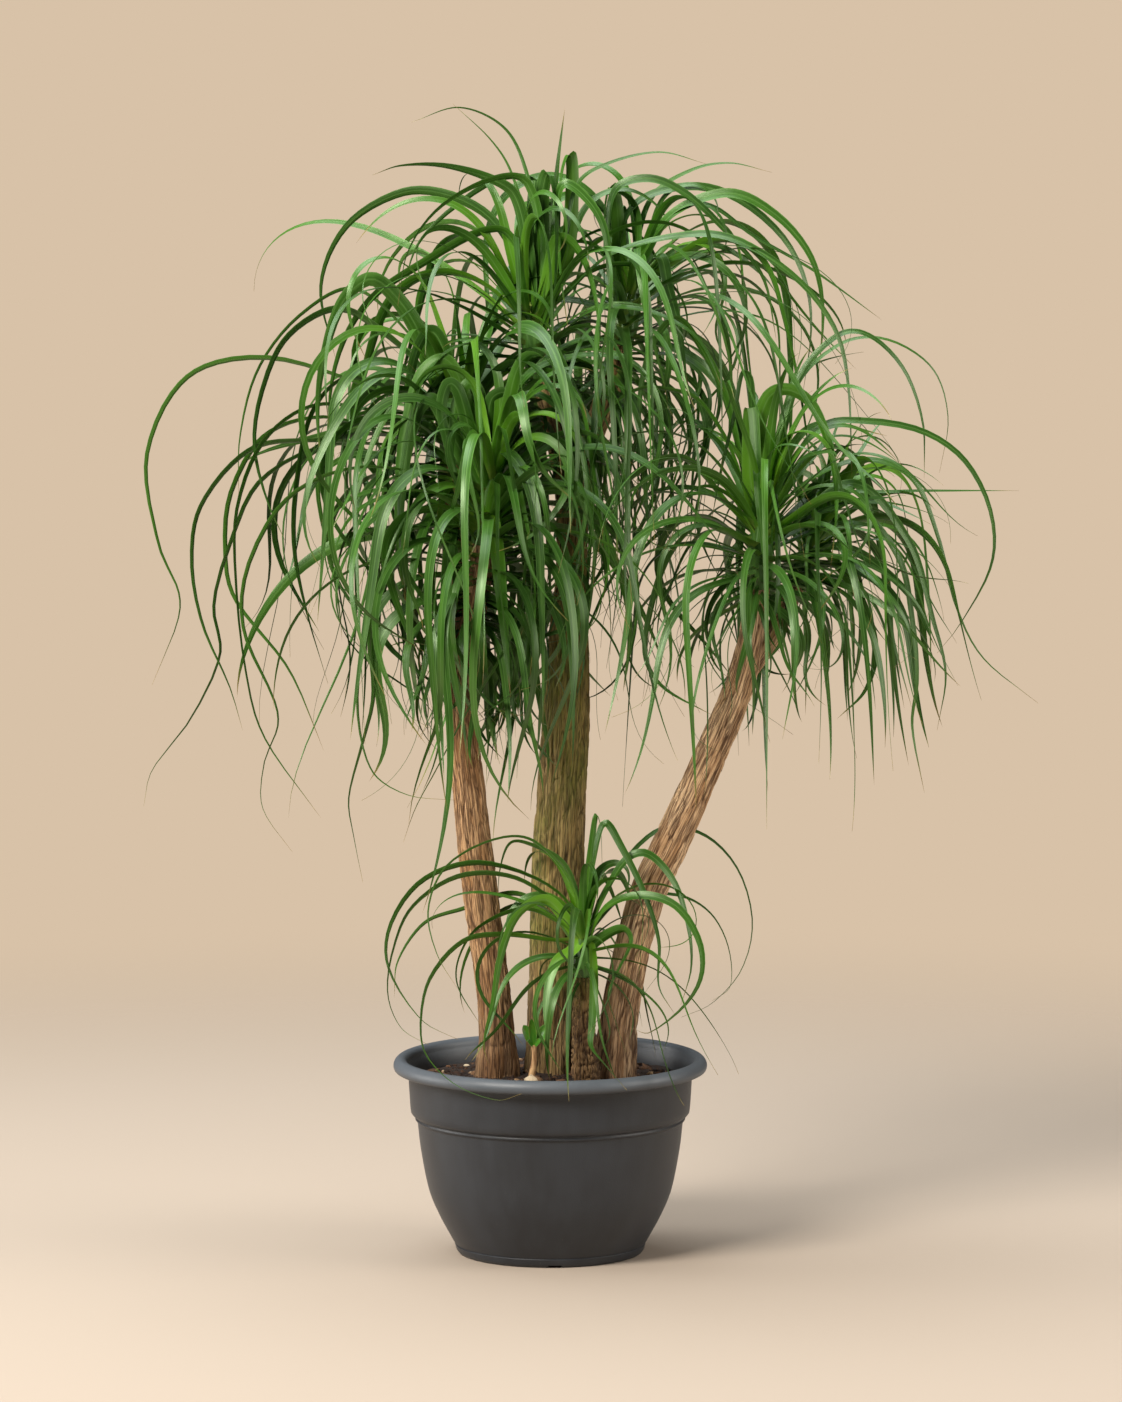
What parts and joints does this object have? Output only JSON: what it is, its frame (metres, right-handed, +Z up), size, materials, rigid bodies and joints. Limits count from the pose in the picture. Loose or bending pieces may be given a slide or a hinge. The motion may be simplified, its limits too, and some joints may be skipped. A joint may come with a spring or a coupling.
{
  "type": "potted ponytail palm",
  "caption": "Indoor ponytail palm with slim bare trunks, arching strap-leaved crowns and a young offset, growing in a dark round plastic pot.",
  "frame": {"origin": "centre of the pot's flat underside, on the floor", "axes": "+Z up along the pot's axis, +X to the right and +Y away from a viewer who faces the plant"},
  "size_m": [0.9937, 0.6545, 1.2784],
  "materials": {
    "pot": "dark grey moulded plastic with a soft sheen",
    "soil": "crumbly dark potting mix",
    "bark": "dry fissured corky bark",
    "stub": "pale dry stub",
    "leaf": "satin strap leaves",
    "young_leaf": "satin young leaves"
  },
  "bodies": {
    "root": {"pot": "pot", "soil": "soil", "trunk_left": "bark", "trunk_centre": "bark", "trunk_right": "bark", "offset_stem": "bark", "sprout_stub": "stub", "sprout_leaves": "young_leaf", "crown_top_left": "leaf", "crown_top_right": "leaf", "crown_left_high": "leaf", "crown_left_front": "leaf", "crown_right_front": "leaf", "crown_right_back": "leaf", "crown_offset": "leaf"}
  },
  "joints": []
}
